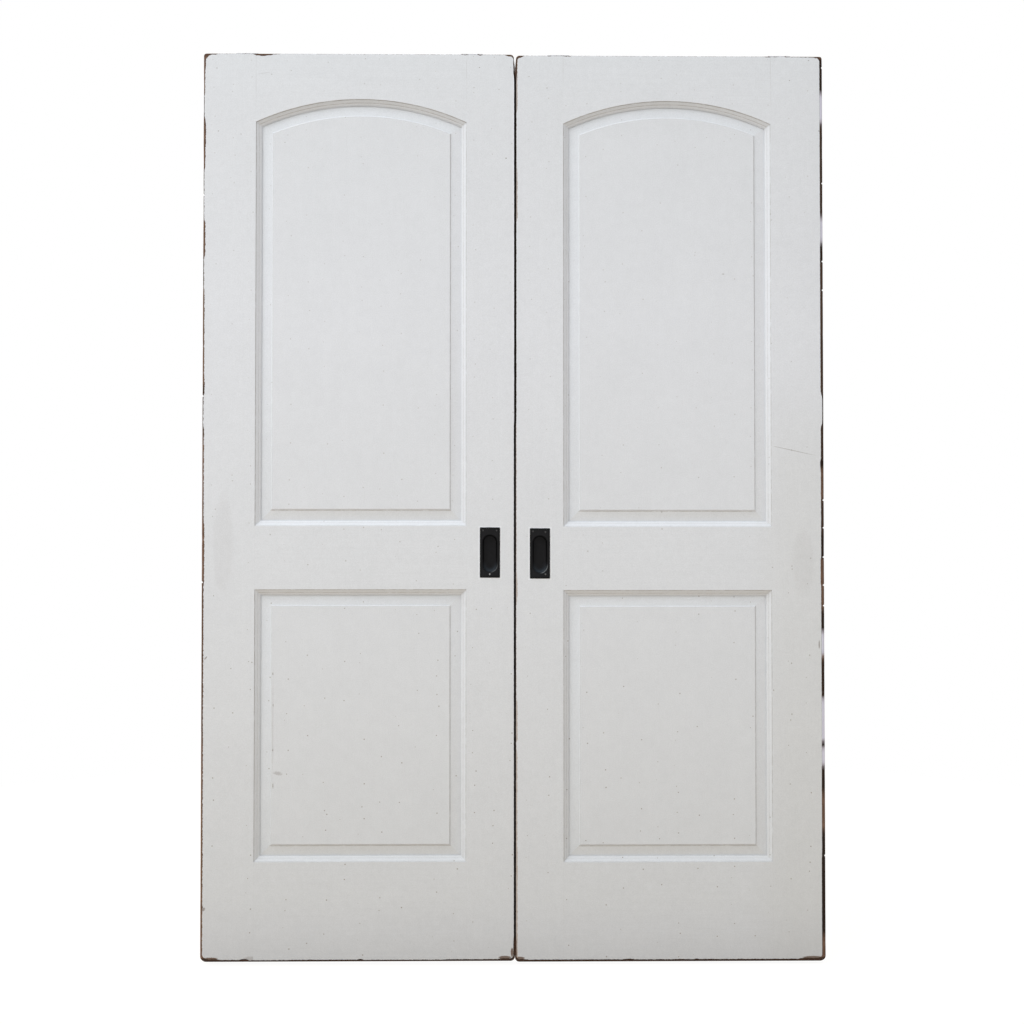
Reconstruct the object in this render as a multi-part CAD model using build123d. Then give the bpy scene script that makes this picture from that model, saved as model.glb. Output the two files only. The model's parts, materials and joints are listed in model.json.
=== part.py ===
from build123d import *
from math import sqrt
import os

# Pair of sliding closet doors that meet in the middle. Each leaf is framed in wood, with an
# arched raised panel above the lock rail, a plain raised panel below it, and a flush pull.
# Sizes are in millimetres. X runs across the doorway, +Y points into the closet and +Z is up.
# The origin lies at floor level, under the middle of the pair's width and depth.

# Leaves
leaf_height = 2032.0
leaf_thickness = 35.0
left_leaf_width = 700.0
right_leaf_width = 695.0
meeting_gap = 0.4
left_leaf_lift = 2.0

# Stiles and rails, each measured on the face up to its moulding
outer_stile_face = 118.0
meeting_stile_face = 108.5
bottom_rail_face = 220.5
lock_rail_bottom = 827.0
lock_rail_face = 142.2
top_rail_at_crown = 102.0
arch_rise = 52.0

# Moulding on the inner edges: a quirk, two sloping bands with a step between them, and a flat foot
quirk_drop = 1.5
outer_band_width = 6.0
outer_band_drop = 3.6
band_step = 0.5
inner_band_width = 5.4
inner_band_drop = 3.2
band_crown = 0.35
foot_drop = 0.8
foot_width = 1.4

# Joints between stiles and rails
groove_width = 12.0
groove_depth = 10.0
tenon_length = 36.0
tenon_end_clearance = 1.0
tenon_shoulder = 12.0
tenon_gap = 30.0
haunch_height = 55.0
bottom_haunch_height = 40.0

# Raised panels, the same on both sides
panel_side_clearance = 0.3
panel_edge_float = 2.0
panel_flat_shown = 0.8
bevel_width = 22.6
field_step_width = 2.4
field_step = 2.1
field_depth_below_face = 6.7

# Worn edges of the leaves
left_outer_edge_round = 4.0
right_outer_edge_round = 6.0
meeting_edge_round = 3.0
outer_top_corner_round = 7.0
outer_bottom_corner_round = 14.0
meeting_top_corner_round = 8.0
meeting_bottom_corner_round = 10.0
meeting_top_ease_width = 3.0
meeting_top_ease_height = 30.0
corner_round_overhang = 0.15
end_arris = 1.0

# Flush pulls
pull_width = 45.0
pull_height = 112.5
pull_corner_round = 1.5
pull_from_meeting_edge = 55.8
pull_centre_height = 909.3
pull_edge_thickness = 1.0
pull_bevel_width = 3.0
pull_bevel_rise = 1.2
pull_bead_width = 1.0
pull_bead_height = 0.4
cup_width = 32.0
cup_height = 83.0
cup_depth = 11.0
cup_wall = 1.2
cup_floor_round = 5.0
cup_mouth_bevel = 1.2
cup_below_centre = 2.0
cup_pocket_clearance = 0.5

# Pins that hold the pulls, driven by hand: places across and up from each pull's centre
pin_shank_radius = 1.1
pin_length = 14.0
pin_head_radius = 2.2
pin_head_top_radius = 1.3
pin_head_height = 1.0
pin_hole_clearance = 0.1
left_pull_pin_places = [(-15.6, 49.5), (15.2, 49.2), (0.0, -48.5)]
right_pull_pin_places = [(-15.6, 49.5), (12.4, 47.6), (12.4, -46.4)]

# Hanger plates let onto the top edge of each leaf, with a tapped boss for the hanger bolt
hanger_from_edge = 97.0
hanger_plate_length = 50.0
hanger_plate_width = 26.0
hanger_plate_thickness = 2.5
hanger_plate_corner_round = 3.0
hanger_boss_radius = 7.5
hanger_boss_height = 12.0
hanger_thread_radius = 4.25
hanger_boss_clearance = 0.8
hanger_bolt_room_depth = 38.0
hanger_screw_spacing = 34.0
hanger_screw_radius = 2.0
hanger_screw_length = 30.0
hanger_screw_clearance = 0.1

# How far a cut runs past the wood that it removes
cut_margin = 2.0

# Values that follow from the sizes above
half_thickness = leaf_thickness / 2
arch_crown_height = leaf_height - top_rail_at_crown
arch_spring_height = arch_crown_height - arch_rise
lock_rail_top = lock_rail_bottom + lock_rail_face
moulding_width = outer_band_width + inner_band_width + foot_width
groove_bottom_inset = moulding_width - groove_depth
panel_edge_inset = groove_bottom_inset + panel_edge_float
panel_half_edge = groove_width / 2 - panel_side_clearance
panel_half_field = half_thickness - field_depth_below_face
pair_width = left_leaf_width + meeting_gap + right_leaf_width
pull_plate_height = pull_edge_thickness + pull_bevel_rise - pull_bead_height
front_reach = max(pull_plate_height + pin_head_height, pull_plate_height + pull_bead_height)
hanger_screw_head_radius = hanger_screw_radius + hanger_plate_thickness


class Leaf:
    """One leaf in its own frame: x runs from the meeting edge outwards, z up from its bottom."""

    def __init__(self, name, width, outer_edge_round, lift, pin_places):
        self.name = name
        self.width = width
        self.outer_edge_round = outer_edge_round
        self.lift = lift
        self.pin_places = pin_places
        self.opening_start = meeting_stile_face
        self.opening_end = width - outer_stile_face
        self.middle = (self.opening_start + self.opening_end) / 2
        half_span = (self.opening_end - self.opening_start) / 2
        self.half_span = half_span
        self.arch_radius = (half_span**2 + arch_rise**2) / (2 * arch_rise)
        self.arch_centre_height = arch_crown_height - self.arch_radius
        self.hanger_places = {"inner": hanger_from_edge, "outer": width - hanger_from_edge}

    def arch_height(self, inset):
        """Height where the arch, drawn in by inset, meets the side line drawn in as far."""
        radius = self.arch_radius - inset
        across = self.half_span - inset
        return self.arch_centre_height + sqrt(radius**2 - across**2)


# Sections that are cut along the inner edges. Their x runs into the opening from the line where
# the moulding starts, and their y runs from the leaf's face into the wood.


def sloping_band(start, width, drop):
    """A slightly rounded band that slopes into the wood, and its far end."""
    end = (start[0] + width, start[1] + drop)
    middle = (start[0] + width / 2, start[1] + drop / 2 - band_crown)
    return ThreePointArc(start, middle, end), end


def moulding_section():
    """The air in front of the moulding."""
    top_of_quirk = (0, -cut_margin)
    foot_of_quirk = (0, quirk_drop)
    outer_band, outer_end = sloping_band(foot_of_quirk, outer_band_width, outer_band_drop)
    inner_start = (outer_end[0], outer_end[1] + band_step)
    inner_band, inner_end = sloping_band(inner_start, inner_band_width, inner_band_drop)
    foot = (inner_end[0], inner_end[1] + foot_drop)
    far_side = moulding_width + cut_margin
    around_the_air = Polyline(inner_end, foot, (far_side, foot[1]), (far_side, -cut_margin), top_of_quirk, foot_of_quirk)
    return make_face(Curve() + [outer_band, Line(outer_end, inner_start), inner_band, around_the_air])


def groove_section():
    """The groove that the panel's edge floats in."""
    length = groove_depth + cut_margin
    centre = (groove_bottom_inset + length / 2, half_thickness)
    return Pos(*centre) * Rectangle(length, groove_width)


def edge_plane(start, into_opening):
    """The plane of the sections above, at one end of an edge or at the crown of the arch."""
    along = Vector(*into_opening).cross(Vector(0, 1, 0))
    return Plane(origin=start, x_dir=into_opening, z_dir=along)


def straight_edge_cut(start, into_opening, length):
    """Moulding on both faces and the groove between, along a straight inner edge."""
    plane = edge_plane(start, into_opening)
    front = extrude(plane * moulding_section(), amount=length)
    groove = extrude(plane * groove_section(), amount=length)
    return front + mirror(front, about=Plane.XZ) + groove


def arch_edge_cut(leaf):
    """The same moulding and groove, turned about the middle of the arch."""
    crown = (leaf.middle, -half_thickness, arch_crown_height)
    plane = edge_plane(crown, (0, 0, -1))
    axis = Axis((leaf.middle, 0, leaf.arch_centre_height), (0, 1, 0))
    front = revolve(plane * moulding_section(), axis=axis)
    groove = revolve(plane * groove_section(), axis=axis)
    return front + mirror(front, about=Plane.XZ) + groove


# Frame of the leaf


def block(x_range, y_range, z_range):
    """A box between two heights, two depths and two places across."""
    size = [high - low for low, high in (x_range, y_range, z_range)]
    corner = Pos(x_range[0], y_range[0], z_range[0])
    return corner * Box(*size, align=(Align.MIN, Align.MIN, Align.MIN))


def two_tenons(low, high):
    """Two tenons, one above the other, share the height of a wide rail."""
    middle = (low + high) / 2
    return [(low, middle - tenon_gap / 2), (middle + tenon_gap / 2, high)]


def tenon_heights():
    """The bottom and top of every tenon, by rail."""
    return {
        "top": [(arch_spring_height + tenon_shoulder, leaf_height - haunch_height)],
        "lock": two_tenons(lock_rail_bottom + tenon_shoulder, lock_rail_top - tenon_shoulder),
        "bottom": two_tenons(bottom_haunch_height, bottom_rail_face - tenon_shoulder),
    }


def rounded_leaf(leaf):
    """The whole leaf as it was worn: every piece of its frame is trimmed to this shape."""
    plan = Pos(leaf.width / 2, 0) * Rectangle(leaf.width, leaf_thickness)
    meeting_corners = plan.vertices().sort_by(Axis.X)[:2]
    plan = fillet(meeting_corners, meeting_edge_round)
    outer_corners = plan.vertices().sort_by(Axis.X)[-2:]
    plan = fillet(outer_corners, leaf.outer_edge_round)
    upright = extrude(plan, amount=leaf_height)

    # The corner rounds start just outside the long edges, so that they cross the worn edges at an angle.
    inner_side = -corner_round_overhang
    outer_side = leaf.width + corner_round_overhang
    meeting_bottom = (inner_side, 0)
    start_of_ease = (inner_side, leaf_height - meeting_top_ease_height)
    end_of_ease = (meeting_top_ease_width, leaf_height)
    outer_top = (outer_side, leaf_height)
    outer_bottom = (outer_side, 0)
    front = make_face(Polyline(meeting_bottom, start_of_ease, end_of_ease, outer_top, outer_bottom, close=True))
    corner_rounds = {
        meeting_bottom: meeting_bottom_corner_round,
        end_of_ease: meeting_top_corner_round,
        outer_top: outer_top_corner_round,
        outer_bottom: outer_bottom_corner_round,
    }
    for corner, radius in corner_rounds.items():
        front = fillet(front.vertices().sort_by_distance(corner)[0], radius)
    slab = extrude(Plane.XZ * front, amount=half_thickness, both=True)
    arrises = slab.faces().filter_by(Axis.Y).edges()
    slab = chamfer(arrises, end_arris)
    return upright & slab


def stile(face_width):
    """A stile with its plain edge at x = 0, moulded and mortised along the other."""
    inner_edge = face_width + moulding_width
    groove_bottom = face_width + groove_bottom_inset
    mortise_end = groove_bottom - tenon_length - tenon_end_clearance
    cut_start = (face_width, -half_thickness, -cut_margin)
    wood = block((0, inner_edge), (-half_thickness, half_thickness), (0, leaf_height))
    wood -= straight_edge_cut(cut_start, (1, 0, 0), leaf_height + 2 * cut_margin)
    half_tenon = groove_width / 2
    for spans in tenon_heights().values():
        for span in spans:
            wood -= block((mortise_end, inner_edge), (-half_tenon, half_tenon), span)
    return wood


def outer_stile(leaf):
    """The outer stile is a stile turned round, at the leaf's far edge."""
    turned = mirror(stile(outer_stile_face), about=Plane.YZ)
    return Pos(leaf.width, 0, 0) * turned


def tenons(leaf, rail_name):
    """The tenons on both ends of a rail, from the bottoms of the stiles' grooves outwards."""
    half_tenon = groove_width / 2
    start = leaf.opening_start + groove_bottom_inset
    end = leaf.opening_end - groove_bottom_inset
    shapes = []
    for span in tenon_heights()[rail_name]:
        shapes.append(block((start - tenon_length, start), (-half_tenon, half_tenon), span))
        shapes.append(block((end, end + tenon_length), (-half_tenon, half_tenon), span))
    return shapes


def scribed(rail_wood, leaf, rail_name, stiles):
    """A rail with its tenons added and its ends cut to fit over the stiles' moulding."""
    for shape in tenons(leaf, rail_name):
        rail_wood += shape
    for piece in stiles:
        rail_wood -= piece
    return rail_wood


def rail_blank(leaf, low, high):
    """Plain wood between the stiles."""
    span = (leaf.opening_start, leaf.opening_end)
    return block(span, (-half_thickness, half_thickness), (low, high))


def upper_edge_cut(leaf, height):
    """Moulding and groove along the top of a rail."""
    return straight_edge_cut((leaf.width, -half_thickness, height), (0, 0, 1), leaf.width)


def lower_edge_cut(leaf, height):
    """Moulding and groove along the underside of a rail."""
    return straight_edge_cut((0, -half_thickness, height), (0, 0, -1), leaf.width)


def top_rail(leaf, stiles):
    """The top rail, with its moulding turned along the arch."""
    edge_radius = leaf.arch_radius - moulding_width
    lowest = leaf.arch_centre_height + sqrt(edge_radius**2 - leaf.half_span**2)
    wood = rail_blank(leaf, lowest, leaf_height)
    under_arch = Cylinder(edge_radius, leaf_thickness + 2 * cut_margin, rotation=(90, 0, 0))
    wood -= Pos(leaf.middle, 0, leaf.arch_centre_height) * under_arch
    wood -= arch_edge_cut(leaf)
    return scribed(wood, leaf, "top", stiles)


def lock_rail(leaf, stiles):
    """The rail beside the pull, moulded above and below."""
    wood = rail_blank(leaf, lock_rail_bottom - moulding_width, lock_rail_top + moulding_width)
    wood -= upper_edge_cut(leaf, lock_rail_top)
    wood -= lower_edge_cut(leaf, lock_rail_bottom)
    return scribed(wood, leaf, "lock", stiles)


def bottom_rail(leaf, stiles):
    """The deep rail at the foot of the leaf."""
    wood = rail_blank(leaf, 0, bottom_rail_face + moulding_width)
    wood -= upper_edge_cut(leaf, bottom_rail_face)
    return scribed(wood, leaf, "bottom", stiles)


# Raised panels


def upper_outline(leaf, inset):
    """The arched opening, drawn in by inset, as a face seen from the front."""
    left = leaf.opening_start + inset
    right = leaf.opening_end - inset
    bottom = lock_rail_top + inset
    side_top = leaf.arch_height(inset)
    crown = (leaf.middle, arch_crown_height - inset)
    sides = Polyline((left, side_top), (left, bottom), (right, bottom), (right, side_top))
    arch = ThreePointArc((right, side_top), crown, (left, side_top))
    return make_face(Curve() + [sides, arch])


def lower_outline(leaf, inset):
    """The lower opening, drawn in by inset, as a face seen from the front."""
    width = 2 * (leaf.half_span - inset)
    height = lock_rail_bottom - bottom_rail_face - 2 * inset
    centre_height = (lock_rail_bottom + bottom_rail_face) / 2
    return Pos(leaf.middle, centre_height) * Rectangle(width, height)


def raised_panel(leaf, outline):
    """A panel that floats in the grooves, with a bevel and a field above a sloping step on both sides."""
    bevel_start = moulding_width + panel_flat_shown
    bevel_end = moulding_width + bevel_width
    field_start = bevel_end + field_step_width
    panel = extrude(Plane.XZ * outline(leaf, panel_edge_inset), amount=panel_half_edge, both=True)
    panel += extrude(Plane.XZ * outline(leaf, field_start), amount=panel_half_field, both=True)
    foot = Plane.XZ.offset(panel_half_edge) * outline(leaf, bevel_start)
    head = Plane.XZ.offset(panel_half_field - field_step) * outline(leaf, bevel_end)
    field = Plane.XZ.offset(panel_half_field) * outline(leaf, field_start)
    for slope in (loft([foot, head], ruled=True), loft([head, field], ruled=True)):
        panel += slope + mirror(slope, about=Plane.XZ)
    return panel


# Flush pulls, drawn with the leaf's face at y = 0 and the pull's centre at x = z = 0


def cup_outline(grow):
    """The stadium shape of the cup's mouth, grown all round."""
    shape = SlotOverall(cup_height + 2 * grow, cup_width + 2 * grow, rotation=90)
    return Pos(0, -cup_below_centre) * shape


def plate_outline(inset):
    """The rounded rectangle of the plate, drawn in by inset."""
    width = pull_width - 2 * inset
    height = pull_height - 2 * inset
    return RectangleRounded(width, height, pull_corner_round)


def cup_plug(grow, mouth_height, depth):
    """A stadium-shaped plug, from above the face down into the wood, and the edges of its floor."""
    outline = Plane.XZ.offset(mouth_height) * cup_outline(grow)
    plug = extrude(outline, amount=-(mouth_height + depth))
    return plug, plug.faces().sort_by(Axis.Y)[-1].edges()


def pin_cut(place, radius, depth):
    """A straight hole for one pin, through the plate and into the wood."""
    reach = pull_plate_height + cut_margin
    hole = Cylinder(radius, reach + depth, align=(Align.CENTER, Align.CENTER, Align.MAX))
    return Plane.XZ.offset(reach).location * Pos(*place, 0) * hole


def pull(leaf):
    """One casting: a bevelled plate with a bead inside its border, and a deep cup."""
    bevel_top = pull_edge_thickness + pull_bevel_rise
    bead_inset = pull_bevel_width + pull_bead_width
    foot = Plane.XZ.offset(pull_edge_thickness) * plate_outline(0)
    head = Plane.XZ.offset(bevel_top) * plate_outline(pull_bevel_width)
    shape = extrude(Plane.XZ * plate_outline(0), amount=pull_edge_thickness)
    shape += loft([foot, head], ruled=True)
    shape -= extrude(Plane.XZ.offset(pull_plate_height) * plate_outline(bead_inset), amount=cut_margin)
    outside, outside_floor = cup_plug(cup_wall, 0, cup_depth + cup_wall)
    inside, inside_floor = cup_plug(0, pull_plate_height, cup_depth)
    shape += chamfer(outside_floor, cup_floor_round)
    shape -= fillet(inside_floor, cup_floor_round)
    level_faces = shape.faces().filter_by(Axis.Y)
    plate_face = [face for face in level_faces if abs(face.center().Y + pull_plate_height) < 0.01][0]
    shape = chamfer(plate_face.inner_wires()[0].edges(), cup_mouth_bevel)
    for place in leaf.pin_places:
        shape -= pin_cut(place, pin_shank_radius + pin_hole_clearance, pin_length)
    return shape


def pull_pins(leaf):
    """Raised-head pins, their heads down on the plate."""
    head_place = Pos(0, 0, pin_head_height / 2)
    pin = head_place * Cone(pin_head_radius, pin_head_top_radius, pin_head_height)
    pin += Cylinder(pin_shank_radius, pin_length, align=(Align.CENTER, Align.CENTER, Align.MAX))
    seat = Plane.XZ.offset(pull_plate_height).location
    return [seat * Pos(*place, 0) * pin for place in leaf.pin_places]


def pull_place(side):
    """Where a pull sits, from the leaf's meeting edge. It is drawn as seen from the front."""
    return Pos(side * pull_from_meeting_edge, -half_thickness, pull_centre_height)


def pull_cuts(leaf):
    """Pocket for the cup and holes for the pins."""
    pocket_depth = cup_depth + cup_wall + cup_pocket_clearance
    pocket = Plane.XZ * cup_outline(cup_wall + cup_pocket_clearance)
    cuts = [extrude(pocket, amount=-pocket_depth)]
    for place in leaf.pin_places:
        cuts.append(pin_cut(place, pin_shank_radius + pin_hole_clearance, pin_length))
    return cuts


# Hanger plates, drawn with the leaf's top edge at z = 0


def screw_places():
    """Both screws of a plate, each side of the boss."""
    return [Pos(-hanger_screw_spacing / 2, 0, 0), Pos(hanger_screw_spacing / 2, 0, 0)]


def hanger_screw():
    """A countersunk screw with its head flush at z = 0 and its slot filled with paint."""
    head_place = Pos(0, 0, -hanger_plate_thickness / 2)
    head = head_place * Cone(hanger_screw_radius, hanger_screw_head_radius, hanger_plate_thickness)
    return head + Cylinder(hanger_screw_radius, hanger_screw_length, align=(Align.CENTER, Align.CENTER, Align.MAX))


def hanger_plate():
    """A flat plate with a tapped boss under its middle and two countersunk holes."""
    outline = RectangleRounded(hanger_plate_length, hanger_plate_width, hanger_plate_corner_round)
    shape = extrude(outline, amount=hanger_plate_thickness)
    shape += Cylinder(hanger_boss_radius, hanger_boss_height, align=(Align.CENTER, Align.CENTER, Align.MAX))
    shape -= Cylinder(hanger_thread_radius, 4 * hanger_boss_height)
    small_radius = hanger_screw_radius + hanger_screw_clearance
    large_radius = hanger_screw_head_radius + hanger_screw_clearance
    for place in screw_places():
        countersink = Cone(small_radius, large_radius, hanger_plate_thickness)
        shape -= place * Pos(0, 0, hanger_plate_thickness / 2) * countersink
    return shape


def hanger_cuts():
    """Room in the wood for the boss and the end of the hanger bolt, and for the screws."""
    downwards = (Align.CENTER, Align.CENTER, Align.MAX)
    bolt_room_radius = hanger_boss_radius + hanger_boss_clearance
    cuts = [Cylinder(bolt_room_radius, hanger_bolt_room_depth, align=downwards)]
    screw_room = hanger_screw_radius + hanger_screw_clearance
    screw_depth = hanger_screw_length - hanger_plate_thickness + hanger_screw_clearance
    for place in screw_places():
        cuts.append(place * Cylinder(screw_room, screw_depth, align=downwards))
    return cuts


# Assembly


def leaf_pieces(leaf):
    """The wood and the hangers of one leaf in the leaf's own frame, by name."""
    meeting = stile(meeting_stile_face)
    outer = outer_stile(leaf)
    stiles = [meeting, outer]
    frame = {
        "outer_stile": outer,
        "meeting_stile": meeting,
        "top_rail": top_rail(leaf, stiles),
        "lock_rail": lock_rail(leaf, stiles),
        "bottom_rail": bottom_rail(leaf, stiles),
    }
    pieces = {}
    shape_of_leaf = rounded_leaf(leaf)
    for name, wood in frame.items():
        pieces[name] = wood if name == "lock_rail" else wood & shape_of_leaf
    pieces["upper_panel"] = raised_panel(leaf, upper_outline)
    pieces["lower_panel"] = raised_panel(leaf, lower_outline)

    hanger_screws = []
    for name, across in leaf.hanger_places.items():
        place = Pos(across, 0, leaf_height)
        pieces[name + "_hanger_plate"] = place * hanger_plate()
        for screw_place in screw_places():
            seat = Pos(0, 0, hanger_plate_thickness)
            hanger_screws.append(place * screw_place * seat * hanger_screw())
        for cut in hanger_cuts():
            for wood_name in ("outer_stile", "meeting_stile", "top_rail"):
                pieces[wood_name] -= place * cut
    pieces["hanger_screws"] = Compound(hanger_screws)
    return pieces


def build_leaf(leaf, side):
    """The leaf's pieces in the pair's frame. side is -1 for the left leaf and 1 for the right."""
    meeting_edge = left_leaf_width - pair_width / 2
    if side > 0:
        meeting_edge += meeting_gap
    place = Pos(meeting_edge, front_reach / 2, leaf.lift)
    placed = {}
    for name, shape in leaf_pieces(leaf).items():
        if side < 0:
            shape = mirror(shape, about=Plane.YZ)
        placed[name] = place * shape

    centre = place * pull_place(side)
    for cut in pull_cuts(leaf):
        placed["meeting_stile"] -= centre * cut
    placed["pull"] = centre * pull(leaf)
    placed["pull_pins"] = Compound([centre * pin for pin in pull_pins(leaf)])
    return {leaf.name + "_" + name: shape for name, shape in placed.items()}


left_leaf = Leaf("left", left_leaf_width, left_outer_edge_round, left_leaf_lift, left_pull_pin_places)
right_leaf = Leaf("right", right_leaf_width, right_outer_edge_round, 0.0, right_pull_pin_places)
nodes = build_leaf(left_leaf, -1) | build_leaf(right_leaf, 1)

os.makedirs("parts", exist_ok=True)
for node_name, node_shape in nodes.items():
    export_step(node_shape, "parts/" + node_name + ".step")
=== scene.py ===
# Looks of a pair of sliding closet doors in worn white paint, with blackened flush pulls.
# Lengths are in metres. X runs across the doorway, +Y points into the closet and +Z is up.

import functools
import json
import math

import bpy
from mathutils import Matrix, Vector, noise

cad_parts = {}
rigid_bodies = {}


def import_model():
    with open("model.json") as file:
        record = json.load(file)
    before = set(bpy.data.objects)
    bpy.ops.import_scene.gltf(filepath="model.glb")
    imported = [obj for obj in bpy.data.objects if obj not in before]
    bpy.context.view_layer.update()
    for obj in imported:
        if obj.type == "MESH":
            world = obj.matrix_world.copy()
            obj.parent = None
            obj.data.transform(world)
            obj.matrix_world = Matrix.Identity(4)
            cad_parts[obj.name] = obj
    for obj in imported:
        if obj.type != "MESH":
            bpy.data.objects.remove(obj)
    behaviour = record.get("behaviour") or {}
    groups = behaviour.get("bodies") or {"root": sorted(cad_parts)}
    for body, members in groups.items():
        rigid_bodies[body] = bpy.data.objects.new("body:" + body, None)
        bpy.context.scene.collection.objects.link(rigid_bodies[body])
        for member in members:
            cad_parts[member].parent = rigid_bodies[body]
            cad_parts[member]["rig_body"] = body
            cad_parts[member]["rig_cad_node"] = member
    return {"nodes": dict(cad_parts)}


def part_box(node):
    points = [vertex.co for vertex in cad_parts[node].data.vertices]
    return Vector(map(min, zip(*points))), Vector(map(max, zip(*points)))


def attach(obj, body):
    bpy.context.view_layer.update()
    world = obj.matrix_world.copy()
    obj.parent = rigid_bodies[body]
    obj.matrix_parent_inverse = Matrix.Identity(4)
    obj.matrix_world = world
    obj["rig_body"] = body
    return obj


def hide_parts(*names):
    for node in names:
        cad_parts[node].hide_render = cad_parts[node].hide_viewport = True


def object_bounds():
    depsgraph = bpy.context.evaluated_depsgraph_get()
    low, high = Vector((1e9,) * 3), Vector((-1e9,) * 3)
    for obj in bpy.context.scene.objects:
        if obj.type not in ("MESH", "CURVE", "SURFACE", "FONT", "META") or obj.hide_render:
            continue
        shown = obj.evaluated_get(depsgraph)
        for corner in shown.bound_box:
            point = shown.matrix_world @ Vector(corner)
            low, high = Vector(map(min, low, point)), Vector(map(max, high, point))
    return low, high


bl_info = {
    "name": "Sliding closet door",
    "version": (1, 0, 0),
    "blender": (4, 5, 0),
    "location": "View3D > Sidebar > Closet door",
    "description": "Worn paint, patina and a plain stage for a pair of sliding closet doors",
    "category": "Object",
}

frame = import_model()
bpy.ops.object.select_all(action="DESELECT")
solid_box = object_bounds()

LEAVES = ("left", "right")

# Sizes of the wood and the pulls that the solids' boxes don't give
MOULDING_WIDTH = 0.0128
GROOVE_DEPTH = 0.010
PANEL_EDGE_FLOAT = 0.002
PANEL_EDGE_IN_GROOVE = GROOVE_DEPTH - PANEL_EDGE_FLOAT
BEVEL_AND_STEP_WIDTH = 0.025
FIELD_STEP_WIDTH = 0.0024
ARCH_RISE = 0.052
PULL_CUP_RADIUS = 0.016
PULL_CUP_HALF_STRAIGHT = 0.0255
PULL_CUP_BELOW_CENTRE = 0.002

# How near two points of a mesh are joined, and up to what angle its edges look round
MERGE_DISTANCE = 0.00001
SMOOTH_ANGLE = math.radians(28)


class LeafPlan:
    """Where one leaf's edges, joints and openings lie, taken from its solids."""

    def __init__(self, leaf):
        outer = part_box(leaf + "_outer_stile")
        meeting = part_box(leaf + "_meeting_stile")
        lock_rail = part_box(leaf + "_lock_rail")
        bottom_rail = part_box(leaf + "_bottom_rail")
        upper_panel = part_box(leaf + "_upper_panel")
        self.name = leaf
        self.side = -1 if leaf == "left" else 1
        self.outer_edge = outer[0].x if leaf == "left" else outer[1].x
        self.meeting_edge = meeting[1].x if leaf == "left" else meeting[0].x
        self.left_edge = min(self.outer_edge, self.meeting_edge)
        self.right_edge = max(self.outer_edge, self.meeting_edge)
        self.bottom = outer[0].z
        self.top = outer[1].z
        self.front = outer[0].y
        self.back = outer[1].y
        foot_left = min(outer[1].x, meeting[1].x)
        foot_right = max(outer[0].x, meeting[0].x)
        self.opening_left = foot_left - MOULDING_WIDTH
        self.opening_right = foot_right + MOULDING_WIDTH
        self.upper_bottom = upper_panel[0].z + PANEL_EDGE_IN_GROOVE - MOULDING_WIDTH
        self.crown = upper_panel[1].z - PANEL_EDGE_IN_GROOVE + MOULDING_WIDTH
        self.lower_bottom = bottom_rail[1].z - MOULDING_WIDTH
        self.lower_top = lock_rail[0].z + MOULDING_WIDTH
        half_span = (self.opening_right - self.opening_left) / 2
        self.middle = (self.opening_right + self.opening_left) / 2
        self.arch_radius = (half_span**2 + ARCH_RISE**2) / (2 * ARCH_RISE)
        self.arch_centre = self.crown - self.arch_radius
        self.lock_middle = (self.lower_top + self.upper_bottom) / 2


# How the paint's colour runs with height, darker towards the floor and a little towards the top: painted
# shade for the light's fall-off, with some grime near the floor. Each stop is a share of the leaf's height,
# and its colour
TOP_OF_HEIGHT_RAMP = solid_box[1].z
PAINT_SHADE_AND_GRIME_BY_HEIGHT = (
    (0.0, (0.74, 0.742, 0.735)),
    (0.035, (0.80, 0.803, 0.797)),
    (0.07, (0.84, 0.843, 0.83)),
    (0.25, (0.911, 0.912, 0.900)),
    (0.45, (0.962, 0.964, 0.957)),
    (0.70, (1.0, 1.0, 1.0)),
    (0.94, (0.962, 0.964, 0.957)),
    (1.0, (0.962, 0.970, 0.964)),
)

PLANS = {leaf: LeafPlan(leaf) for leaf in LEAVES}

# Bare wood along the long edges, from the floor up: each stretch ends at a height, in metres, and is
# so many millimetres wide.
LONG_EDGE_WEAR = {
    "left outer": (
        (0.245, 5.0), (0.49, 5.0), (0.84, 4.7), (0.975, 6.0), (1.19, 4.4), (1.265, 2.8), (1.30, 5.2),
        (1.50, 4.2), (1.576, 2.8), (1.655, 5.4), (1.775, 2.6), (1.824, 4.8), (1.883, 5.8), (1.944, 2.6),
        (2.001, 3.8), (2.04, 5.4),
    ),
    "right outer": (
        (0.23, 9.0), (0.375, 8.2), (0.436, 8.2), (0.474, 7.6), (0.490, 8.0), (0.584, 7.6), (0.683, 7.8),
        (0.733, 7.6), (0.838, 7.8), (0.896, 8.8), (0.955, 7.6), (1.10, 7.4), (1.12, 8.8), (1.198, 7.2),
        (1.266, 3.4), (1.611, 7.2), (1.665, 6.6), (1.883, 7.0), (1.947, 6.8), (2.04, 7.0),
    ),
    # Along the meeting edges these strips also set the width of the painted shade in the gap between the
    # leaves
    "left meeting": ((0.05, 3.4), (1.2, 2.4), (1.985, 1.7), (2.04, 3.4)),
    "right meeting": ((0.05, 3.4), (1.2, 2.4), (1.985, 3.2), (2.04, 5.0)),
}

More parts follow.
